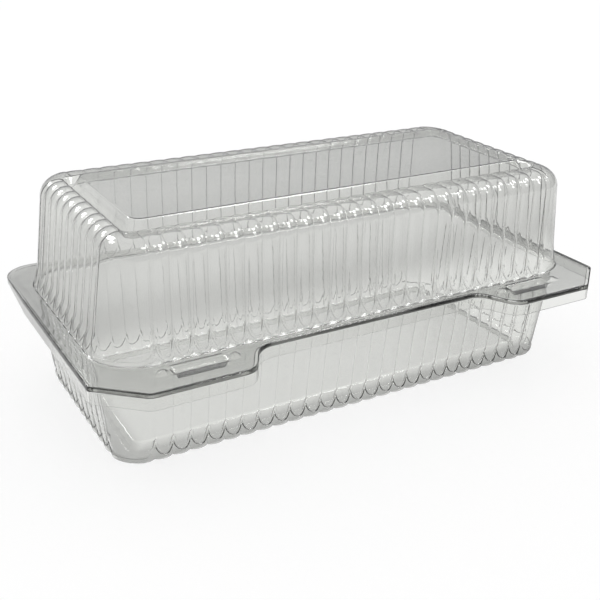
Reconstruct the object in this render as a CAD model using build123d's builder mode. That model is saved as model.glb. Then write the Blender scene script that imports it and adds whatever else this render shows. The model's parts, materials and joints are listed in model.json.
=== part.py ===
"""Clear hinged loaf container: a fluted tray and a fluted dome lid, formed from one thin plastic sheet.

Millimetres, +Z up. The origin is on the table, under the middle of the overall footprint.
+X runs along the loaf. The lid turns on a fold along the back edge, on the +Y side.
"""
import os
from math import atan2, cos, radians, sin, tan

from build123d import *

os.makedirs("parts", exist_ok=True)

# Sheet
wall = 0.4                  # formed plastic sheet
clearance = 0.3             # gap between the lid and the tray
overrun = 2.0               # how far a cut runs past what it cuts

# Flutes: upright half-round ribs with a sharp groove between each two
flute_pitch = 7.4
groove_depth = 1.2
groove_width = 3.4
groove_lift = 3.0           # smooth band between the flange and the first groove
groove_mouth = 0.8          # how far a groove's cut stands out of the flutes
corner_least = 5.5          # smallest smooth corner that a row of flutes leaves
corner_facets = 4
lid_runout_share = 0.33     # how far a groove runs on past its end, as a share of its last stretch
tray_runout_share = 1.0

# Lid: foot on the flange, shoulder where the wall starts to bend inwards
lid_foot_length = 225.4
lid_foot_width = 104.6
lid_shoulder_length = 213.0
lid_shoulder_width = 100.2
lid_height = 46.4           # flange to the top of the flutes
lid_bend = 8.0

# Raised top panel of the lid, with a trough round it
panel_length = 184.0
panel_width = 62.6
panel_corner = 5.0
panel_rise = 2.1            # above the top of the flutes
panel_slope = 2.2           # how far the panel's rim spreads on its way down to the trough
trough_depth = 3.0
trough_width = 0.8
trough_slope = 2.0
ledge = 0.8                 # between the trough and the flutes

# Tray: rim under the flange, shoulder where the wall starts to bend under
fold_height = 45.0          # the fold's axis above the table
tray_rim_length = 223.6
tray_rim_width = 102.8
tray_shoulder_length = 215.0
tray_shoulder_width = 94.0
tray_bend = 5.0

# Raised floor panel of the tray
floor_length = 195.0
floor_width = 74.0
floor_corner = 8.0
floor_rise = 4.2
floor_slope = 1.6

# Flange round the lid's foot, with a chamfered tab at each front corner
flange_end = 7.3
flange_back = 9.6
flange_front = 3.4
back_corner = 13.0
tab_reach = 15.7
tab_gap = 124.0             # between the two tabs, at their front edges
tab_slant = 9.0
tab_bend = 9.0
chamfer_length = 17.2
chamfer_depth = 15.0
chamfer_bend = 4.0

# Turned-down edges
skirt_depth = 6.2           # lid
skirt_taper = 33.0          # length over which the skirt runs out towards the fold
skirt_back = 4.0            # from the skirt's end to the fold
lip_depth = 1.0             # tray

# Press lock on each tab: a pocket between two studs
lock_spacing = 158.0
lock_from_edge = 13.0
lock_length = 20.5
lock_width = 5.8
lock_depth = 2.6
lock_corner = 1.2
stud_spacing = 28.6
stud_radius = 2.3
stud_sides = 8
stud_height = 1.1
stud_taper = 33.0           # degrees

# The fold is as thick as the two flanges and the gap between them
fold_radius = clearance / 2 + wall
lid_base = fold_height + clearance / 2
tray_depth = fold_height - clearance / 2

# Places in plan, measured from the middle of the loaf
half_length = lid_foot_length / 2 + flange_end
fold_y = lid_foot_width / 2 + flange_back
front_y = -lid_foot_width / 2 - flange_front
tab_y = front_y - tab_reach
loaf_y = -(tab_y + fold_y + fold_radius) / 2
lock_y = tab_y + lock_from_edge

# Rows of flutes fill the straight part of each side, and line up on lid and tray
straight_length = min(lid_shoulder_length - 2 * lid_bend, tray_shoulder_length - 2 * tray_bend)
straight_width = min(lid_shoulder_width - 2 * lid_bend, tray_shoulder_width - 2 * tray_bend)
side_flutes = int((straight_length - 2 * corner_least) / flute_pitch)
end_flutes = int((straight_width - 2 * corner_least) / flute_pitch)
side_row = side_flutes * flute_pitch
end_row = end_flutes * flute_pitch


def wall_levels(foot, shoulder, height, bend, turns, inset, reach):
    """Length, width and height of the outline, from the foot up the wall and over the bend."""
    rise = height - bend
    below = [f + (f - s) * reach / rise - 2 * inset for f, s in zip(foot, shoulder)]
    levels = [(*below, -reach)]
    for turn in turns:
        shrink = bend - (bend - inset) * cos(radians(turn))
        lift = (bend - inset) * sin(radians(turn))
        levels.append((shoulder[0] - 2 * shrink, shoulder[1] - 2 * shrink, rise + lift))
    return levels


def rounded_outline(length, width, straight_length, straight_width):
    """Outline seen from above, with straight sides of the given lengths and a faceted bend at each corner."""
    x, y = straight_length / 2, straight_width / 2
    points = []
    for quarter, middle in enumerate(((x, y), (-x, y), (-x, -y), (x, -y))):
        for step in range(corner_facets + 1):
            turn = radians(90 * (quarter + step / corner_facets))
            points.append((middle[0] + (length / 2 - x) * cos(turn), middle[1] + (width / 2 - y) * sin(turn)))
    with BuildSketch() as outline:
        with BuildLine():
            Polyline(*points, close=True)
        make_face()
    return outline.sketch


def panel_outline(length, width, corner):
    """Outline of a panel or a well."""
    return rounded_outline(length, width, length - 2 * corner, width - 2 * corner)


def wall_outline(length, width):
    """Outline of a wall, straight along each row of flutes."""
    return rounded_outline(length, width, side_row, end_row)


def well_levels(length, width, corner, depth, slope, top, inset):
    """Bottom and mouth of a well with sloping sides, sunk in a form's top."""
    spread = inset * tan(atan2(depth, slope) / 2)
    opening = slope * (depth + overrun) / depth
    bottom = (length + 2 * spread, width + 2 * spread, corner + spread, top - depth - inset)
    mouth = (bottom[0] + 2 * opening, bottom[1] + 2 * opening, bottom[2] + opening, top - inset + overrun)
    return bottom, mouth


def groove_course(levels, side, inset, runout_share):
    """Route of a groove up one wall, over the bend and past the top: distances from the middle, and heights."""
    points = [(level[side] / 2, level[2]) for level in levels]
    (foot_out, foot_up), (top_out, top_up) = points[:2]
    lift = groove_lift - inset
    lift_share = (lift - foot_up) / (top_up - foot_up)
    start = (foot_out + (top_out - foot_out) * lift_share, lift)
    end = [last + (last - before) * runout_share for before, last in zip(*points[-2:])]
    return [start, *points[1:-1], end]


def groove_cutter(course, inset):
    """V-shaped bar along one groove of the front wall."""
    side_angle = atan2(groove_depth, groove_width / 2)
    depth = groove_depth + inset * (1 / cos(side_angle) - 1)
    spread = (depth + groove_mouth) / tan(side_angle)
    with BuildPart() as cutter:
        with BuildLine(Plane.YZ) as route:
            Polyline(*[(-out, up) for out, up in course])
        with BuildSketch(Plane(route.line @ 0, x_dir=(1, 0, 0), z_dir=route.line % 0)):
            with BuildLine():
                Polyline((-spread, -groove_mouth), (0, depth), (spread, -groove_mouth), close=True)
            make_face()
        sweep(path=route.line, transition=Transition.RIGHT)
    return cutter.part


def fluted_form(levels, well, side_groove, end_groove):
    """Solid form: rounded walls with a bent shoulder, a well in the top, and grooves between flutes."""
    with BuildPart() as form:
        for length, width, up in levels:
            with BuildSketch(Plane.XY.offset(up)):
                add(wall_outline(length, width))
        loft(ruled=True)
        for length, width, corner, up in well:
            with BuildSketch(Plane.XY.offset(up)):
                add(panel_outline(length, width, corner))
        loft(ruled=True, mode=Mode.SUBTRACT)
        for turn in (0, 180):
            with Locations(Location((0, 0, 0), (0, 0, turn))):
                with GridLocations(flute_pitch, 0, side_flutes + 1, 1):
                    add(side_groove, clean=False, mode=Mode.SUBTRACT)
            with Locations(Location((0, 0, 0), (0, 0, turn + 90))):
                with GridLocations(flute_pitch, 0, end_flutes + 1, 1):
                    add(end_groove, clean=False, mode=Mode.SUBTRACT)
    return form.part


def lid_form(inset, reach):
    """Lid as a solid, shrunk by inset: fluted dome with a raised panel on top."""
    foot = (lid_foot_length, lid_foot_width)
    shoulder = (lid_shoulder_length, lid_shoulder_width)
    levels = wall_levels(foot, shoulder, lid_height, lid_bend, (0, 45), inset, reach)
    top = lid_height - inset
    margin = panel_slope + trough_width
    mouth = 2 * (margin + trough_slope + ledge)
    levels.append((panel_length + mouth, panel_width + mouth, top))
    well = well_levels(panel_length + 2 * margin, panel_width + 2 * margin, panel_corner + margin,
                       trough_depth, trough_slope, lid_height, inset)
    side_groove, end_groove = [
        groove_cutter(groove_course(levels, side, inset, lid_runout_share), inset) for side in (1, 0)
    ]
    dome = fluted_form(levels, well, side_groove, end_groove)

    rise = trough_depth + panel_rise
    narrowing = inset * tan(atan2(rise, panel_slope) / 2)
    spread = panel_slope * (rise + wall) / rise
    with BuildPart() as form:
        add(dome, clean=False)
        for out, up in ((spread, top - trough_depth - wall), (0, top + panel_rise)):
            with BuildSketch(Plane.XY.offset(up)):
                growth = out - narrowing
                add(panel_outline(panel_length + 2 * growth, panel_width + 2 * growth, panel_corner + growth))
        loft(ruled=True, clean=False)
    return form.part


def tray_form(inset, reach):
    """Tray as a solid standing on its rim, shrunk by inset: fluted walls and a sunken floor panel."""
    foot = (tray_rim_length, tray_rim_width)
    shoulder = (tray_shoulder_length, tray_shoulder_width)
    levels = wall_levels(foot, shoulder, tray_depth, tray_bend, (0, 45, 90), inset, reach)
    well = well_levels(floor_length, floor_width, floor_corner, floor_rise, floor_slope, tray_depth, inset)
    side_groove, end_groove = [
        groove_cutter(groove_course(levels, side, inset, tray_runout_share), inset) for side in (1, 0)
    ]
    return fluted_form(levels, well, side_groove, end_groove)


def flange_outline(inset):
    """Edge of the flange, seen from above, drawn in by inset."""
    corners = []
    for side in (1, -1):
        corners += [
            (side * half_length, fold_y, back_corner),
            (side * half_length, tab_y + chamfer_depth, chamfer_bend),
            (side * (half_length - chamfer_length), tab_y, chamfer_bend),
            (side * tab_gap / 2, tab_y, tab_bend),
            (side * (tab_gap / 2 - tab_slant), front_y, tab_bend),
        ][::side]
    with BuildSketch() as outline:
        with BuildLine():
            FilletPolyline(*[(x, y) for x, y, bend in corners], radius=[c[2] for c in corners], close=True)
        make_face()
        if inset:
            offset(amount=-inset, mode=Mode.REPLACE)
    return outline.sketch


# Fluted shells: an outer form with the same form, shrunk by the sheet, taken out of it
lid_outside = lid_form(0, 0)
lid_inside = lid_form(wall, overrun)
tray_outside = tray_form(0, 0)
tray_inside = tray_form(wall, overrun)

with BuildPart() as dome:
    add(lid_outside, clean=False)
    add(lid_inside, clean=False, mode=Mode.SUBTRACT)

with BuildPart() as basin:
    add(tray_outside, clean=False)
    add(tray_inside, clean=False, mode=Mode.SUBTRACT)

# Lid: flange with a turned-down skirt, press locks, the fold and the dome
lid_edge = flange_outline(0)
lid_hollow = flange_outline(wall)
skirt_end = loaf_y + fold_y - skirt_back
skirt_bottom = lid_base - skirt_depth - overrun

with BuildPart() as lid:
    with BuildSketch(Plane((0, loaf_y, lid_base + wall))):
        add(lid_edge)
    extrude(amount=-wall - skirt_depth)
    with BuildSketch(Plane((0, loaf_y, lid_base))):
        add(lid_hollow)
    extrude(amount=-skirt_depth - overrun, mode=Mode.SUBTRACT)
    with BuildSketch(Plane.YZ):
        with BuildLine():
            Polyline(
                (skirt_end, lid_base),
                (skirt_end - skirt_taper, lid_base - skirt_depth),
                (skirt_end - skirt_taper, skirt_bottom),
                (skirt_end + skirt_taper, skirt_bottom),
                (skirt_end + skirt_taper, lid_base),
                close=True,
            )
        make_face()
    extrude(amount=half_length + overrun, both=True, mode=Mode.SUBTRACT)
    with BuildSketch(Plane((0, loaf_y, lid_base))):
        add(wall_outline(lid_foot_length - wall, lid_foot_width - wall))
    extrude(amount=wall, mode=Mode.SUBTRACT)
    with BuildSketch(Plane((0, loaf_y + lock_y, lid_base - lock_depth))):
        with GridLocations(lock_spacing, 0, 2, 1):
            add(panel_outline(lock_length + 2 * wall, lock_width + 2 * wall, lock_corner + wall))
    extrude(amount=lock_depth)
    with BuildSketch(Plane((0, loaf_y + lock_y, lid_base - lock_depth + wall))):
        with GridLocations(lock_spacing, 0, 2, 1):
            add(panel_outline(lock_length, lock_width, lock_corner))
    extrude(amount=lock_depth + overrun, mode=Mode.SUBTRACT)
    with BuildSketch(Plane((0, loaf_y + lock_y, lid_base))):
        with GridLocations(lock_spacing, 0, 2, 1), GridLocations(stud_spacing, 0, 2, 1):
            RegularPolygon(stud_radius, stud_sides)
    extrude(amount=stud_height + wall, taper=stud_taper)
    with BuildSketch(Plane((0, loaf_y + lock_y, lid_base))):
        with GridLocations(lock_spacing, 0, 2, 1), GridLocations(stud_spacing, 0, 2, 1):
            RegularPolygon(stud_radius - wall, stud_sides)
    extrude(amount=stud_height, taper=stud_taper, mode=Mode.SUBTRACT)
    with Locations(Location((0, loaf_y + fold_y, fold_height), (0, 90, 0))):
        Cylinder(fold_radius, 2 * (half_length - back_corner))
    with Locations((0, loaf_y, lid_base)):
        add(dome.part)
lid.part.label = "lid"

# Tray: flange with a short turned-down lip, lock sockets and the fluted basin
tray_inset = fold_radius + clearance
tray_edge = flange_outline(tray_inset)
tray_hollow = flange_outline(tray_inset + wall)
socket_gap = wall + clearance
socket_around = socket_gap + wall
socket_floor = lid_base - lock_depth - clearance

with BuildPart() as tray:
    with BuildSketch(Plane((0, loaf_y, tray_depth))):
        add(tray_edge)
    extrude(amount=-lip_depth)
    with BuildSketch(Plane((0, loaf_y, tray_depth - wall))):
        add(tray_hollow)
    extrude(amount=-lip_depth - overrun, mode=Mode.SUBTRACT)
    with BuildSketch(Plane((0, loaf_y, tray_depth - wall))):
        add(wall_outline(tray_rim_length - wall, tray_rim_width - wall))
    extrude(amount=wall, mode=Mode.SUBTRACT)
    with BuildSketch(Plane((0, loaf_y + lock_y, socket_floor - wall))):
        with GridLocations(lock_spacing, 0, 2, 1):
            add(panel_outline(lock_length + 2 * socket_around, lock_width + 2 * socket_around,
                              lock_corner + socket_around))
    extrude(amount=tray_depth - socket_floor)
    with BuildSketch(Plane((0, loaf_y + lock_y, socket_floor))):
        with GridLocations(lock_spacing, 0, 2, 1):
            add(panel_outline(lock_length + 2 * socket_gap, lock_width + 2 * socket_gap,
                              lock_corner + socket_gap))
    extrude(amount=lock_depth + overrun, mode=Mode.SUBTRACT)
    with Locations(Location((0, loaf_y, tray_depth), (180, 0, 0))):
        add(basin.part)
tray.part.label = "tray"

for piece in (lid.part, tray.part):
    export_step(piece, f"parts/{piece.label}.step")
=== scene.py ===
"""Looks of the clear hinged loaf container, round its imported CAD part. Sizes in mm, meshes in metres."""
import json

import bpy
import numpy as np
from mathutils import Matrix, Vector


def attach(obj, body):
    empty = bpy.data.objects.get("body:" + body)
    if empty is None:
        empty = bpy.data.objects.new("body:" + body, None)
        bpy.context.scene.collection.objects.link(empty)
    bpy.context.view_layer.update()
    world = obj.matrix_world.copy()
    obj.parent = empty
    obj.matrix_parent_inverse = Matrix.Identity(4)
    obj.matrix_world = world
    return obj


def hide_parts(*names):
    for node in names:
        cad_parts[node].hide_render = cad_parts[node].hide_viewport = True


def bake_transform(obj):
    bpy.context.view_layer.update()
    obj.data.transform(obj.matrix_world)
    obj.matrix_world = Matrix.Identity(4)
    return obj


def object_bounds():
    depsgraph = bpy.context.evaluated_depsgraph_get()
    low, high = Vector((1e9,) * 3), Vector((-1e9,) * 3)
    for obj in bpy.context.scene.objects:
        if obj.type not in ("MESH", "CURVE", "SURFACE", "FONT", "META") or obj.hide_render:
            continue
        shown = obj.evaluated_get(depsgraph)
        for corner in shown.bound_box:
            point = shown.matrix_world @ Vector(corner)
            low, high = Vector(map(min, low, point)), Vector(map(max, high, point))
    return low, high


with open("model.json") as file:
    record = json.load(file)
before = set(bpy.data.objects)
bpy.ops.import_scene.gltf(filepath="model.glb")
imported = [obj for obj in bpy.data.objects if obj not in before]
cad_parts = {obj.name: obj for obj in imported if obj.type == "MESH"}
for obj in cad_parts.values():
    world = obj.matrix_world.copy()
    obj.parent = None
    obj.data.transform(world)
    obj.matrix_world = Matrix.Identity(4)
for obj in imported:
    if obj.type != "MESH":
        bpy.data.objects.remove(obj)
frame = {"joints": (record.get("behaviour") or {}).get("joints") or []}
cad_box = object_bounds()
scene = bpy.context.scene
scene.view_settings.view_transform = "Standard"


# The clear sheet: thin, glossy plastic drawn down over a mould, faintly grey where one looks along it.
# The mould leaves slow waves and a few duller patches in it.
def ranged(tree, value, start, stop, low=0.0, high=1.0):
    """A value carried from one range over to another, and held at the ends."""
    node = tree.nodes.new("ShaderNodeMapRange")
    for name, number in (("From Min", start), ("From Max", stop), ("To Min", low), ("To Max", high)):
        node.inputs[name].default_value = number
    tree.links.new(value, node.inputs["Value"])
    return node.outputs["Result"]


def clear_sheet():
    clear, refraction = (0.99, 0.992, 0.986, 1), 1.52
    patch_scale, patch_detail, patch_from, patch_to = 35.0, 3.0, 0.35, 0.75
    glossy, dull = 0.01, 0.05
    wave_scale, wave_detail, wave_strength, wave_height = 160.0, 2.0, 0.12, 0.0004
    inner_grey, inner_density = (0.41, 0.42, 0.39, 1), 260.0

    material = bpy.data.materials.new("clear_sheet")
    material.use_nodes = True
    tree = material.node_tree
    shader = tree.nodes["Principled BSDF"]
    shader.inputs["Base Color"].default_value = clear
    shader.inputs["Transmission Weight"].default_value = 1.0
    shader.inputs["IOR"].default_value = refraction
    place = tree.nodes.new("ShaderNodeTexCoord")

    def noise(scale, detail):
        node = tree.nodes.new("ShaderNodeTexNoise")
        node.inputs["Scale"].default_value = scale
        node.inputs["Detail"].default_value = detail
        tree.links.new(place.outputs["Object"], node.inputs["Vector"])
        return node.outputs["Fac"]

    dullness = ranged(tree, noise(patch_scale, patch_detail), patch_from, patch_to, glossy, dull)
    tree.links.new(dullness, shader.inputs["Roughness"])
    relief = tree.nodes.new("ShaderNodeBump")
    relief.inputs["Strength"].default_value = wave_strength
    relief.inputs["Distance"].default_value = wave_height
    tree.links.new(noise(wave_scale, wave_detail), relief.inputs["Height"])
    tree.links.new(relief.outputs["Normal"], shader.inputs["Normal"])
    tint = tree.nodes.new("ShaderNodeVolumeAbsorption")
    tint.inputs["Color"].default_value = inner_grey
    tint.inputs["Density"].default_value = inner_density
    tree.links.new(tint.outputs["Volume"], tree.nodes["Material Output"].inputs["Volume"])
    return material


sheet = clear_sheet()


# Flutes: rounded ribs with a sharp groove between each two, drawn into the straight part of every wall.
# The tree pushes the wall in along its stored outward direction, deepest where two flutes meet.
def feed(tree, socket, value):
    """Gives a socket another socket's value, or a plain one."""
    if isinstance(value, bpy.types.NodeSocket):
        tree.links.new(value, socket)
    else:
        socket.default_value = value


def sum_of(tree, operation, first, second=0.0, clamped=False):
    """One step of arithmetic, on sockets or plain numbers."""
    node = tree.nodes.new("ShaderNodeMath")
    node.operation = operation
    node.use_clamp = clamped
    feed(tree, node.inputs[0], first)
    feed(tree, node.inputs[1], second)
    return node.outputs["Value"]


def flute_tree():
    tree = bpy.data.node_groups.new("flutes", "GeometryNodeTree")
    face = tree.interface
    face.new_socket("Geometry", in_out="INPUT", socket_type="NodeSocketGeometry")
    for size in ("Pitch", "Depth", "Flatness"):
        face.new_socket(size, in_out="INPUT", socket_type="NodeSocketFloat")
    face.new_socket("Sheet", in_out="INPUT", socket_type="NodeSocketMaterial")
    face.new_socket("Geometry", in_out="OUTPUT", socket_type="NodeSocketGeometry")
    nodes, links = tree.nodes, tree.links
    given = nodes.new("NodeGroupInput").outputs
    result = nodes.new("NodeGroupOutput")

    def stored(name, kind):
        node = nodes.new("GeometryNodeInputNamedAttribute")
        node.data_type = kind
        node.inputs["Name"].default_value = name
        return node.outputs["Attribute"]

    turns = sum_of(tree, "FRACT", sum_of(tree, "DIVIDE", stored("along", "FLOAT"), given["Pitch"]))
    from_middle = sum_of(tree, "SUBTRACT", sum_of(tree, "MULTIPLY", turns, 2.0), 1.0)
    section = sum_of(tree, "POWER", sum_of(tree, "ABSOLUTE", from_middle), given["Flatness"])
    groove = sum_of(tree, "MULTIPLY", given["Depth"], stored("groove", "FLOAT"))
    inwards = sum_of(tree, "MULTIPLY", sum_of(tree, "MULTIPLY", section, groove), -1.0)
    push = nodes.new("ShaderNodeVectorMath")
    push.operation = "SCALE"
    links.new(stored("outward", "FLOAT_VECTOR"), push.inputs["Vector"])
    links.new(inwards, push.inputs["Scale"])
    move = nodes.new("GeometryNodeSetPosition")
    links.new(given["Geometry"], move.inputs["Geometry"])
    links.new(push.outputs["Vector"], move.inputs["Offset"])
    realize = nodes.new("GeometryNodeRealizeInstances")
    links.new(move.outputs["Geometry"], realize.inputs["Geometry"])
    dress = nodes.new("GeometryNodeSetMaterial")
    links.new(realize.outputs["Geometry"], dress.inputs["Geometry"])
    links.new(given["Sheet"], dress.inputs["Material"])
    links.new(dress.outputs["Geometry"], result.inputs["Geometry"])
    return tree


flutes = flute_tree()
flute_pitch = 7.4
side_flutes, end_flutes = 25, 9
row_x, row_y = side_flutes * flute_pitch / 2, end_flutes * flute_pitch / 2
flute_shares = (0, 0.045, 0.13, 0.26, 0.42, 0.58, 0.74, 0.87, 0.955)
flute_steps, corner_steps = len(flute_shares), 26


# The way round a wall, from the front left flute and on past the right end. Each place round it has the
# middle that the corner turns about, the direction outwards, and how far it is along its row of flutes.
# Places are measured from the middle of the loaf, which lies behind the middle of the container.
def way_round():
    middle, outwards, along, fluted = [], [], [], []
    for quarter, count in enumerate((side_flutes, end_flutes, side_flutes, end_flutes)):
        row, across = ((row_x, row_y), (row_y, row_x))[quarter % 2]
        turn = np.pi / 2 * (quarter - 1)
        facing = np.array((np.cos(turn), np.sin(turn)))
        going = np.array((-facing[1], facing[0]))
        for step in range(count * flute_steps):
            reach = (step // flute_steps + flute_shares[step % flute_steps]) * flute_pitch
            middle.append(facing * across + going * (reach - row))
            outwards.append(facing)
            along.append(reach)
            fluted.append(1.0)
        for step in range(corner_steps):
            swing = turn + np.pi / 2 * step / corner_steps
            middle.append(facing * across + going * row)
            outwards.append((np.cos(swing), np.sin(swing)))
            along.append(0.0)
            fluted.append(1.0 if step == 0 else 0.0)
    return np.array(middle), np.array(outwards), np.array(along), np.array(fluted)


loaf_middle = np.array((0, 4.475, 0))
way_middle, way_out, way_along, way_fluted = way_round()
way_count = len(way_along)

# How far each place is from the middle of its flute, 0 to 1, fading out where a corner starts to turn.
corner_fade = 0.35
corner_turn = np.minimum(np.abs(way_out[:, 0]), np.abs(way_out[:, 1]))
way_off_middle = np.where(way_fluted > 0, np.abs((way_along / flute_pitch) % 1.0 * 2 - 1),
                          np.clip(1 - corner_turn / corner_fade, 0, 1))


def lifted(points, height):
    """A flat ring of points, put at a height."""
    return np.column_stack((points, np.full(way_count, height)))


def wall_ring(half_length, half_width, height):
    """Outline of a wall at one height."""
    spread = np.array((half_length - row_x, half_width - row_y))
    return lifted(way_middle + way_out * spread, height)


# The flange's edge: straight along the back and the ends, with a chamfered tab at each front corner.
# For each place round the wall it gives a place on the edge, closer together where the edge bends.
cad_low, cad_high = np.round(np.array([list(corner) for corner in cad_box]) * 1000, 3)
hinge = np.array(frame["joints"][0]["pos_m"]) * 1000
half_length = cad_high[0]
back_y = hinge[1] - loaf_middle[1]


def edge_ring():
    tab_y = cad_low[1] - loaf_middle[1]
    front_y, tab_start, tab_side, tab_end, chamfer_y = -55.7, 53.0, 62.0, 102.8, -56.4
    tab_bend, chamfer_bend, back_bend = 9, 4, 13
    bend_steps, bend_weight = 12, 6.0
    front_limit, back_limit, end_limit = -50, 45, half_length - 0.1
    corners = [((0, front_y), 0), ((tab_start, front_y), tab_bend), ((tab_side, tab_y), tab_bend),
               ((tab_end, tab_y), chamfer_bend), ((half_length, chamfer_y), chamfer_bend),
               ((half_length, back_y), back_bend), ((0, back_y), 0)]
    path, weight = [np.array(corners[0][0], float)], [0.0]
    for (before, _), (corner, bend), (after, _) in zip(corners, corners[1:], corners[2:]):
        before, corner, after = (np.array(point, float) for point in (before, corner, after))
        come = (before - corner) / np.linalg.norm(before - corner)
        leave = (after - corner) / np.linalg.norm(after - corner)
        half_turn = np.arccos(np.clip(come @ leave, -1, 1)) / 2
        centre = corner + (come + leave) / np.linalg.norm(come + leave) * bend / np.sin(half_turn)
        first = corner + come * bend / np.tan(half_turn) - centre
        last = corner + leave * bend / np.tan(half_turn) - centre
        sweep = np.pi - 2 * half_turn
        for step in range(bend_steps + 1):
            part = step / bend_steps
            point = first * np.sin((1 - part) * sweep) + last * np.sin(part * sweep)
            path.append(centre + point / np.sin(sweep))
            weight.append(0.0 if step == 0 else bend_weight * sweep / bend_steps)
    path.append(np.array(corners[-1][0], float))
    weight.append(0.0)
    path = np.array(path)
    lengths = np.linalg.norm(np.diff(path, axis=0), axis=1)
    run = np.concatenate(([0.0], np.cumsum(lengths))) + np.cumsum(weight)

    front, back, end = path[:, 1] < front_limit, path[:, 1] > back_limit, path[:, 0] > end_limit
    front_run = np.interp(row_x, path[front, 0], run[front])
    low_run, high_run = np.interp((-row_y, row_y), path[end, 1], run[end])
    back_run = np.interp(-row_x, -path[back, 0], run[back])
    ring = way_middle.copy()
    start = 0
    corner_share = np.arange(corner_steps) / corner_steps
    corner_runs = ((front_run, low_run), (high_run, back_run), (back_run, high_run), (low_run, front_run))
    for quarter, (leave, arrive) in enumerate(corner_runs):
        row = slice(start, start + (side_flutes, end_flutes)[quarter % 2] * flute_steps)
        bend = slice(row.stop, row.stop + corner_steps)
        start = bend.stop
        side = 1 if quarter < 2 else -1
        if quarter == 0:
            ring[row, 1] = np.interp(np.abs(ring[row, 0]), path[front, 0], path[front, 1])
        elif quarter == 2:
            ring[row, 1] = back_y
        else:
            ring[row, 0] = side * half_length
        places = leave + (arrive - leave) * corner_share
        ring[bend, 0] = side * np.interp(places, run, path[:, 0])
        ring[bend, 1] = np.interp(places, run, path[:, 1])
    ahead, behind = np.roll(ring, -1, axis=0), np.roll(ring, 1, axis=0)
    along = (ahead - behind) / np.linalg.norm(ahead - behind, axis=1)[:, None]
    return ring, np.column_stack((along[:, 1], -along[:, 0]))


edge, edge_out = edge_ring()


# One half of the sheet, as it leaves the mould: rings that run round the container one inside the other,
# closed in the middle by a flat panel, then fluted and given the sheet's thickness.
thickness = 0.4
mm = 0.001


def formed_sheet(name, rings, grooves, depth, flatness, turned):
    rings = np.array(rings)
    count = len(rings)
    ahead = np.roll(rings, -1, axis=1) - np.roll(rings, 1, axis=1)
    inner = np.gradient(rings, axis=0)
    outward = np.cross(ahead, inner)
    outward /= np.maximum(np.linalg.norm(outward, axis=2), 1e-9)[:, :, None]
    if turned:
        outward = -outward
    faces = []
    for ring in range(count - 1):
        for place in range(way_count):
            after = (place + 1) % way_count
            face = (ring * way_count + place, ring * way_count + after,
                    (ring + 1) * way_count + after, (ring + 1) * way_count + place)
            faces.append(face[::-1] if turned else face)
    panel = [(count - 1) * way_count + place for place in range(way_count)]
    faces.append(panel[::-1] if turned else panel)
    mesh = bpy.data.meshes.new(name)
    mesh.from_pydata(((rings.reshape(-1, 3) + loaf_middle) * mm).tolist(), [], faces)
    mesh.polygons.foreach_set("use_smooth", [True] * len(faces))
    along = np.tile(way_along, count) * mm
    groove = (np.array(grooves) * way_fluted).ravel()
    mesh.attributes.new("along", "FLOAT", "POINT").data.foreach_set("value", along)
    mesh.attributes.new("groove", "FLOAT", "POINT").data.foreach_set("value", groove)
    mesh.attributes.new("outward", "FLOAT_VECTOR", "POINT").data.foreach_set("vector", outward.ravel())
    base = bpy.data.objects.new(name + "_base", mesh)
    scene.collection.objects.link(base)

    ribs = base.modifiers.new("flutes", "NODES")
    ribs.node_group = flutes
    sizes = {"Pitch": flute_pitch * mm, "Depth": depth * mm, "Flatness": flatness, "Sheet": sheet}
    for socket in flutes.interface.items_tree:
        if socket.in_out == "INPUT" and socket.name in sizes:
            ribs[socket.identifier] = sizes[socket.name]
    thick = base.modifiers.new("thickness", "SOLIDIFY")
    thick.thickness = thickness * mm
    thick.offset = -1
    scene.view_layers[0].update()
    ready = bpy.data.meshes.new_from_object(base.evaluated_get(bpy.context.evaluated_depsgraph_get()))
    ready.name = name
    for spent in ("along", "groove", "outward"):
        if spent in ready.attributes:
            ready.attributes.remove(ready.attributes[spent])
    bpy.data.objects.remove(base)
    piece = bpy.data.objects.new(name, ready)
    scene.collection.objects.link(piece)
    return piece


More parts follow.
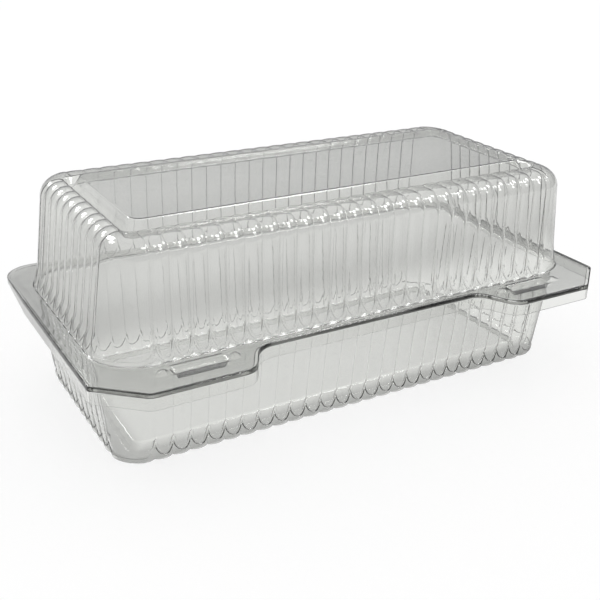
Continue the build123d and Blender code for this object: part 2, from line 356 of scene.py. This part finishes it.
# Tray: the lower half of the sheet. A short lip turns down at its flange, and fluted walls go down to a row
# of beads, each with a U-shaped step round its end. The floor is a panel raised off the table.
def tray_sheet():
    top, lip, lip_bend, lip_inset, lip_front = 44.45, 0.3, 0.15, 1.25, 0.4
    rim_long, rim_wide, rim_bend = 111.8, 51.4, 0.8
    taper_long, taper_wide, taper_end, wall_inset = 4.3, 4.4, 5.0, 0.3
    flute_depth, flute_flatness = 0.9, 4.0
    bead_top, bead_low, bead_rise, bead_round = 10.2, 3.4, 5.6, 2.4
    bead_bulge, bulge_height, bead_groove, groove_height = 0.4, 2.2, 0.6, 2.0
    step_low, step_rise, foot_scallop, foot_bend = 0.5, 1.1, 1.3, 1.8
    foot_ring, panel_narrower = ((103.0, 42.5), (100.0, 39.5)), 60.5
    panel_rows = ((99.3, 0.0), (98.9, 0.4), (98.1, 2.1), (97.4, 3.8), (97.0, 4.2), (96.0, 4.2))
    rings, grooves = [], []

    def ring(points, groove=0.0):
        rings.append(points)
        grooves.append(np.full(way_count, groove))

    lip_edge = edge - edge_out * (lip_inset + lip_front * (1 - edge_out[:, 1:]))
    for down in (lip, lip * 0.5):
        ring(lifted(lip_edge, top - down))
    for turn in np.radians((0, 45, 90)):
        ring(lifted(lip_edge - edge_out * lip_bend * (1 - np.cos(turn)),
                    top - lip_bend + lip_bend * np.sin(turn)))
    rim = wall_ring(rim_long, rim_wide, top)
    outer = rings[-1]
    for share in (0.25, 0.5, 0.75, 0.95):
        ring(outer + (rim + lifted(way_out * rim_bend, 0) - outer) * share)
    for turn in np.radians((0, 30, 60, 90)):
        ring(rim + lifted(way_out * rim_bend * (1 - np.sin(turn)), -rim_bend * (1 - np.cos(turn))))

    for share, groove in ((0.04, 0.05), (0.08, 0.5), (0.12, 0.85), (0.18, 1.0), (0.4, 1.0), (0.65, 1.0),
                          (0.86, 1.0)):
        ring(wall_ring(rim_long - taper_long * share - wall_inset, rim_wide - taper_wide * share - wall_inset,
                       top - (top - taper_end) * share), groove)
    bead_end = bead_low + bead_rise * way_off_middle ** bead_round
    step = step_low + step_rise * way_off_middle ** 2
    rows = [(bead_top + (bead_end - bead_top) * share, 0.0) for share in (0.0, 0.25, 0.5, 0.72, 0.88, 1.0)]
    rows += [(bead_end - step * share, share) for share in (0.25, 0.5, 0.75, 1.0)]
    rows += [((bead_end - step) * (1 - share), 1.0) for share in (0.2, 0.42, 0.62, 0.78, 0.89, 0.96, 1.0)]
    for up, low in rows:
        bead = wall_inset + bead_bulge * np.clip((bead_end + bulge_height - up) / bulge_height, 0, 1) ** 2
        bead += bead_groove * way_off_middle ** 2 * np.clip((bead_top - up) / groove_height, 0, 1)
        under = np.clip((foot_bend - up) / foot_bend, 0, 0.999)
        foot = foot_scallop * way_off_middle ** 2 + foot_bend * (1 - np.sqrt(1 - under ** 2))
        inwards = bead + (foot - bead) * low
        taper = np.outer((top - up) / (top - taper_end), (taper_long, taper_wide))
        spread = np.array((rim_long - row_x, rim_wide - row_y)) - taper
        ring(lifted(way_middle + way_out * (spread - inwards[:, None]), up), 1 - low)

    for long, wide in foot_ring:
        ring(wall_ring(long, wide, 0.0))
    for long, up in panel_rows:
        ring(wall_ring(long, long - panel_narrower, up))
    return formed_sheet("tray_sheet", rings, grooves, flute_depth, flute_flatness, True)


tray = tray_sheet()
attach(tray, "tray")
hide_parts("tray")


# Lid: the upper half of the sheet, a dome with a turned-down skirt round its flange. The skirt runs out
# towards the fold, and each front tab has a pocket between two studs that presses into the tray.
# Above the shoulder a trough runs round a raised top panel.
def lid_sheet():
    base, crease = 45.55, 0.15
    skirt_depth, skirt_least, skirt_end_y, skirt_run = 6.2, 0.05, 57.9, 33.0
    foot_long, foot_wide, foot_bend = 112.7, 52.3, 0.4
    tab_y, pocket_depth = -54, 2.6
    pocket_x, pocket_shares = (68.82, 69.56, 88.8, 89.54), (0.535, 0.57, 0.82, 0.855)
    stud_x, stud_y, stud_height, stud_radii = (64.7, 93.3), -58.4, 1.1, (0.9, 2.3)
    wall_height, lean_long, lean_wide, waist, waist_up = 38.4, 6.2, 2.2, 0.9, (0.8, 9)
    flute_depth, flute_flatness = 1.2, 2.5
    cell_start, cell_top, cell_low, cell_rise, cell_round = 0.5, 11.0, 1.6, 6.0, 2.4
    cell_bulge, bulge_height, cell_scallop, scallop_height = 0.3, 2.5, 0.7, 2.0
    step_low, step_rise = 0.5, 1.8
    shoulder_bend, back_groove, front_groove, groove_fade = 8.0, 0.22, 0.5, (20, 70)
    rings, grooves = [], []

    def ring(points, groove=0.0):
        rings.append(points)
        grooves.append(np.full(way_count, groove))

    runs_out = skirt_depth * (skirt_end_y - edge[:, 1]) / skirt_run
    skirt = np.clip(runs_out, skirt_least, skirt_depth) + thickness
    crease_down = np.minimum(crease, skirt * 0.5)
    for share in (1.0, 0.97, 0.66, 0.33):
        ring(lifted(edge, base - crease_down - (skirt - crease_down) * share))
    for turn in np.radians((0, 45, 90)):
        ring(lifted(edge - edge_out * crease * (1 - np.cos(turn)), base - crease_down * (1 - np.sin(turn))))
    outer = rings[-1]
    foot_line = wall_ring(foot_long, foot_wide, base)
    foot_out = foot_line + lifted(way_out * foot_bend, 0)
    for share in (0.03, 0.2, 0.4, 0.5, 0.535, 0.57, 0.61, 0.65, 0.69, 0.73, 0.775, 0.82, 0.855, 0.89, 0.95):
        flat = outer + (foot_out - outer) * share
        aside = np.abs(flat[:, 0])
        pocket = np.interp(aside, pocket_x, (0, 1, 1, 0))
        pocket *= np.interp(share, pocket_shares, (0, 1, 1, 0)) * (flat[:, 1] < tab_y)
        flat[:, 2] -= pocket_depth * pocket
        for stud in stud_x:
            away = np.hypot(aside - stud, flat[:, 1] - stud_y)
            flat[:, 2] += stud_height * np.interp(away, stud_radii, (1, 0))
        ring(flat)
    for turn in np.radians((0, 45, 90)):
        ring(foot_line + lifted(way_out * foot_bend * (1 - np.sin(turn)), foot_bend * (1 - np.cos(turn))))

    wall_foot = base - thickness
    cell_end = cell_low + cell_rise * way_off_middle ** cell_round
    step = step_low + step_rise * way_off_middle ** 2
    rows = [(cell_start + (cell_end - step - cell_start) * share, 1.0) for share in (0.1, 0.4, 0.7, 1.0)]
    rows += [(cell_end - step * share, share) for share in (0.75, 0.5, 0.25, 0.0)]
    rows += [(cell_end + (cell_top - cell_end) * share, 0.0) for share in (0.08, 0.2, 0.38, 0.65, 1.0)]
    rows += [(np.full(way_count, up), 0.0) for up in (18.0, 26.0, 34.0)]
    for up, low in rows:
        cell = cell_bulge * np.clip((cell_end + bulge_height - up) / bulge_height, 0, 1) ** 2
        foot = cell_scallop * way_off_middle ** 2 * np.clip(up / scallop_height, 0, 1)
        inwards = cell + (foot - cell) * low + waist * np.interp(up, (*waist_up, wall_height), (0, 1, 0))
        lean = np.outer(up / wall_height, (lean_long, lean_wide))
        spread = np.array((foot_long - row_x, foot_wide - row_y)) - lean
        ring(lifted(way_middle + way_out * (spread - inwards[:, None]), wall_foot + up), 1 - low)

    shoulder_up = wall_foot + wall_height
    run_over = np.where(way_out[:, 1] > 0.5, back_groove, front_groove)
    for turn in np.linspace(0, 90, 11):
        shrink = shoulder_bend * (1 - np.cos(np.radians(turn)))
        ring(wall_ring(foot_long - lean_long - shrink, foot_wide - lean_wide - shrink,
                       shoulder_up + shoulder_bend * np.sin(np.radians(turn))),
             1 + (run_over - 1) * np.interp(turn, groove_fade, (0, 1)))
    trough_edge = ((97.6, 36.9, 0.0, 0.9), (97.1, 36.4, 0.15, 0.6), (96.75, 36.05, 0.55, 0.3),
                   (96.5, 35.8, 0.95, 0.0))
    for long, wide, down, groove in trough_edge:
        ring(wall_ring(long, wide, shoulder_up + shoulder_bend - down), groove * run_over)

    panel_top = cad_high[2]
    sharper_corner = np.array((5.5, 7.0))
    trough = ((95.7, 35.1, 4.5, 0.0), (95.5, 34.9, 4.85, 0.0), (95.2, 34.6, 5.07, 0.1),
              (94.85, 34.25, 5.15, 0.25), (94.5, 33.9, 5.07, 0.4), (94.2, 33.6, 4.85, 0.6))
    panel = ((94.0, 33.35, 4.45, 0.65), (92.45, 31.75, 0.8, 1.0), (92.25, 31.55, 0.35, 1.0),
             (91.95, 31.25, 0.07, 1.0), (91.5, 30.8, 0.0, 1.0), (90.9, 30.2, 0.0, 1.0))
    for long, wide, down, drawn in trough + panel:
        row = np.array((row_x, row_y)) - sharper_corner * drawn
        points = way_middle * row / (row_x, row_y) + way_out * (np.array((long, wide)) - row)
        ring(lifted(points, panel_top - down))
    return formed_sheet("lid_sheet", rings, grooves, flute_depth, flute_flatness, False)


lid = lid_sheet()
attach(lid, "lid")
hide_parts("lid")


# Fold: the sheet's own crease, pressed thinner than the rest, which joins the tray to the lid along the back.
# Its section curls up from the tray's flange towards the line that the lid turns on.
def fold_strip():
    half_run, steps, fold_thickness = 106.5, 61, 0.25
    curl = np.array([(-0.83, -0.85), (-0.45, -0.8), (-0.12, -0.62), (-0.02, -0.32)])
    line = curl + (back_y, hinge[2])
    slope = np.gradient(line, axis=0)
    side = np.column_stack((slope[:, 1], -slope[:, 0])) / np.linalg.norm(slope, axis=1)[:, None]
    section = np.concatenate((line, (line - side * fold_thickness)[::-1]))
    across = len(section)
    places = [(x, y, z) for x in np.linspace(-half_run, half_run, steps) for y, z in section]
    faces = []
    for step in range(steps - 1):
        for corner in range(across):
            after = (corner + 1) % across
            faces.append((step * across + corner, step * across + after,
                          (step + 1) * across + after, (step + 1) * across + corner))
    faces.append(tuple(range(across))[::-1])
    faces.append(tuple((steps - 1) * across + corner for corner in range(across)))
    mesh = bpy.data.meshes.new("fold_strip")
    mesh.from_pydata(((np.array(places) + loaf_middle) * mm).tolist(), [], faces)
    mesh.materials.append(sheet)
    strip = bpy.data.objects.new("fold_strip", mesh)
    scene.collection.objects.link(strip)
    return strip


fold = fold_strip()
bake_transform(fold)


# Table: a plain pale floor that runs on to serve as the background, white where it is seen past the
# container.
# Through the sheet it is grey, with painted soft shadows along the front and left foot and a painted shadow
# band behind.
# What the sheet mirrors of it is painted lighter and darker by turns, a painted reflection, so that the
# flutes show as streaks.
def mixed(tree, share, first, second, blend="MIX"):
    """Two colours mixed, each a socket or a plain colour."""
    node = tree.nodes.new("ShaderNodeMix")
    node.data_type = "RGBA"
    node.blend_type = blend
    for name, value in (("Factor", share), ("A", first), ("B", second)):
        feed(tree, node.inputs[name], value)
    return node.outputs["Result"]


def graded(tree, value, marks, tint=(1.0, 1.0, 1.0)):
    """Grey tones along a value, eased from mark to mark."""
    node = tree.nodes.new("ShaderNodeValToRGB")
    node.color_ramp.interpolation = "EASE"
    ramp = node.color_ramp.elements
    for spot, (position, tone) in enumerate(marks):
        mark = ramp[spot] if spot < 2 else ramp.new(position)
        mark.position = position
        mark.color = (tone * tint[0], tone * tint[1], tone * tint[2], 1)
    tree.links.new(value, node.inputs["Fac"])
    return node.outputs["Color"]


def table_top():
    far, pale, dull = 6, (0.93, 0.93, 0.93, 1), 0.9
    white, grey_tint, own_light = (1.02, 1.02, 1.02, 1), (1.0, 1.005, 0.985), 0.78
    backdrop_and_shadow_end = 0.4
    backdrop_and_shadow_band_tones = ((0.0, 0.97), (0.1, 0.93), (0.21, 0.52), (0.34, 0.64), (0.48, 0.64), (0.7, 0.84))
    foot_left, foot_front, shadow_inner, shadow_outer = -0.1052, -0.0401, 0.015, -0.002
    shadow_tones = ((0.0, 1.0), (0.5, 0.55), (0.88, 0.42), (1.0, 1.0))
    streak_reach = 0.4
    reflection_streak_tones = ((0.1, 0.3), (0.3, 1.0), (0.5, 1.0), (0.62, 0.25), (0.8, 0.3), (1.0, 0.95))

    mesh = bpy.data.meshes.new("table")
    mesh.from_pydata([(-far, -far, 0), (far, -far, 0), (far, far, 0), (-far, far, 0)], [], [(0, 1, 2, 3)])
    material = bpy.data.materials.new("table")
    material.use_nodes = True
    tree = material.node_tree
    shader = tree.nodes["Principled BSDF"]
    shader.inputs["Base Color"].default_value = pale
    shader.inputs["Roughness"].default_value = dull
    shader.inputs["Specular IOR Level"].default_value = 0.0
    path = tree.nodes.new("ShaderNodeLightPath").outputs
    place = tree.nodes.new("ShaderNodeTexCoord")
    parted = tree.nodes.new("ShaderNodeSeparateXYZ")
    tree.links.new(place.outputs["Object"], parted.inputs["Vector"])
    across, back = parted.outputs["X"], parted.outputs["Y"]

    # Painted shade seen through the sheet: a grey floor tone, with a painted dark shadow band behind the
    # container.
    backdrop_with_shadow_band = graded(tree, ranged(tree, back, 0.0, backdrop_and_shadow_end), backdrop_and_shadow_band_tones, grey_tint)
    # Painted contact shadow: the floor darkens along the front and left foot of the container.
    inside = sum_of(tree, "MINIMUM", sum_of(tree, "SUBTRACT", across, foot_left),
                    sum_of(tree, "SUBTRACT", back, foot_front))
    shadow = graded(tree, ranged(tree, inside, shadow_inner, shadow_outer), shadow_tones)
    shadowed = mixed(tree, 1.0, backdrop_with_shadow_band, shadow, "MULTIPLY")
    shown = mixed(tree, path["Is Transmission Ray"], white, shadowed)
    # Painted reflection: light and dark streaks across the floor, shown only to rays that the sheet mirrors.
    painted_reflection_streaks = graded(tree, ranged(tree, across, -streak_reach, streak_reach), reflection_streak_tones)
    mirrored = sum_of(tree, "SUBTRACT", path["Is Glossy Ray"], path["Is Transmission Ray"], clamped=True)
    glow = tree.nodes.new("ShaderNodeEmission")
    tree.links.new(mixed(tree, mirrored, shown, painted_reflection_streaks), glow.inputs["Color"])
    seen = sum_of(tree, "SUBTRACT", 1.0, path["Is Diffuse Ray"])
    both = tree.nodes.new("ShaderNodeMixShader")
    tree.links.new(sum_of(tree, "MULTIPLY", seen, own_light), both.inputs[0])
    tree.links.new(shader.outputs["BSDF"], both.inputs[1])
    tree.links.new(glow.outputs["Emission"], both.inputs[2])
    tree.links.new(both.outputs["Shader"], tree.nodes["Material Output"].inputs["Surface"])
    mesh.materials.append(material)
    table = bpy.data.objects.new("table", mesh)
    scene.collection.objects.link(table)
    return table


table_top()


# Light: an even white room. What the sheet mirrors is darker low down, apart from a lighter stretch low at
# the back for what lies behind two walls. Six small lamps make each flute sparkle where it turns over the
# shoulder, and show only in the first mirror image.
def studio():
    white, seen_through = (1.04, 1.04, 1.04, 1), (0.86, 0.865, 0.845, 1)
    low_at, low_tone, high_at, high_tone = 0.42, (0.27, 0.27, 0.28, 1), 0.8, (0.9, 0.9, 0.9, 1)
    light_stretch, stretch_up, stretch_right = (0.8, 0.8, 0.79, 1), (0.40, 0.36), (0.66, 0.60)
    two_walls, first_image = 3.5, 1.5
    lamp_edge, lamp_core = 0.991, 0.994
    lamps = (((0.45, -0.37, 0.81), 16.0), ((-0.22, 0.78, 0.59), 14.0), ((0.45, -0.62, 0.64), 9.0),
             ((0.10, -0.42, 0.90), 8.0), ((0.72, -0.05, 0.69), 8.0), ((-0.45, 0.62, 0.64), 7.0))

    world = bpy.data.worlds.new("room")
    scene.world = world
    world.use_nodes = True
    tree = world.node_tree
    path = tree.nodes.new("ShaderNodeLightPath").outputs
    room = tree.nodes["Background"]
    tree.links.new(mixed(tree, path["Is Transmission Ray"], white, seen_through), room.inputs["Color"])

    direction = tree.nodes.new("ShaderNodeTexCoord").outputs["Generated"]
    parted = tree.nodes.new("ShaderNodeSeparateXYZ")
    tree.links.new(direction, parted.inputs["Vector"])
    shade = tree.nodes.new("ShaderNodeValToRGB")
    low, high = shade.color_ramp.elements
    low.position, low.color = low_at, low_tone
    high.position, high.color = high_at, high_tone
    tree.links.new(parted.outputs["Z"], shade.inputs["Fac"])
    stretch = sum_of(tree, "MULTIPLY", ranged(tree, parted.outputs["Z"], *stretch_up),
                     ranged(tree, parted.outputs["X"], *stretch_right))
    behind = sum_of(tree, "GREATER_THAN", path["Transmission Depth"], two_walls)
    mirrored = tree.nodes.new("ShaderNodeBackground")
    lit = mixed(tree, sum_of(tree, "MULTIPLY", stretch, behind), shade.outputs["Color"], light_stretch)
    tree.links.new(lit, mirrored.inputs["Color"])

    glints = mirrored.outputs["Background"]
    once = sum_of(tree, "LESS_THAN", path["Glossy Depth"], first_image)
    for toward, strength in lamps:
        aim = tree.nodes.new("ShaderNodeVectorMath")
        aim.operation = "DOT_PRODUCT"
        aim.inputs[1].default_value = Vector(toward).normalized()
        tree.links.new(direction, aim.inputs[0])
        beam = ranged(tree, aim.outputs["Value"], lamp_edge, lamp_core, high=strength)
        lamp = tree.nodes.new("ShaderNodeBackground")
        tree.links.new(sum_of(tree, "MULTIPLY", beam, once), lamp.inputs["Strength"])
        added = tree.nodes.new("ShaderNodeAddShader")
        tree.links.new(glints, added.inputs[0])
        tree.links.new(lamp.outputs["Background"], added.inputs[1])
        glints = added.outputs["Shader"]

    both = tree.nodes.new("ShaderNodeMixShader")
    tree.links.new(path["Is Glossy Ray"], both.inputs[0])
    tree.links.new(room.outputs["Background"], both.inputs[1])
    tree.links.new(glints, both.inputs[2])
    tree.links.new(both.outputs["Shader"], tree.nodes["World Output"].inputs["Surface"])


studio()


# Camera: the photograph's own view, a little above the container and turned towards its left end.
# It looks at a point low in the middle of the container, from less than half a metre away.
def photograph_camera():
    azimuth, elevation, roll = np.radians((-30.9, 24.42, 1.58))
    looks_at, distance = Vector((0.00078, 0.01011, 0.02825)), 0.42982
    focal_pixels, picture_pixels, sensor = 929.67, 600, 36.0
    flat = np.cos(elevation)
    back = Vector((np.sin(azimuth) * flat, -np.cos(azimuth) * flat, np.sin(elevation)))
    level = Vector((np.cos(azimuth), np.sin(azimuth), 0))
    upright = back.cross(level)
    right = level * np.cos(roll) + upright * np.sin(roll)
    up = upright * np.cos(roll) - level * np.sin(roll)
    data = bpy.data.cameras.new("photograph")
    data.sensor_width = sensor
    data.lens = focal_pixels / picture_pixels * sensor
    data.clip_start = 0.01
    camera = bpy.data.objects.new("photograph", data)
    scene.collection.objects.link(camera)
    turn = Matrix((right, up, back)).transposed().to_4x4()
    camera.matrix_world = Matrix.Translation(looks_at + back * distance) @ turn
    scene.camera = camera


photograph_camera()
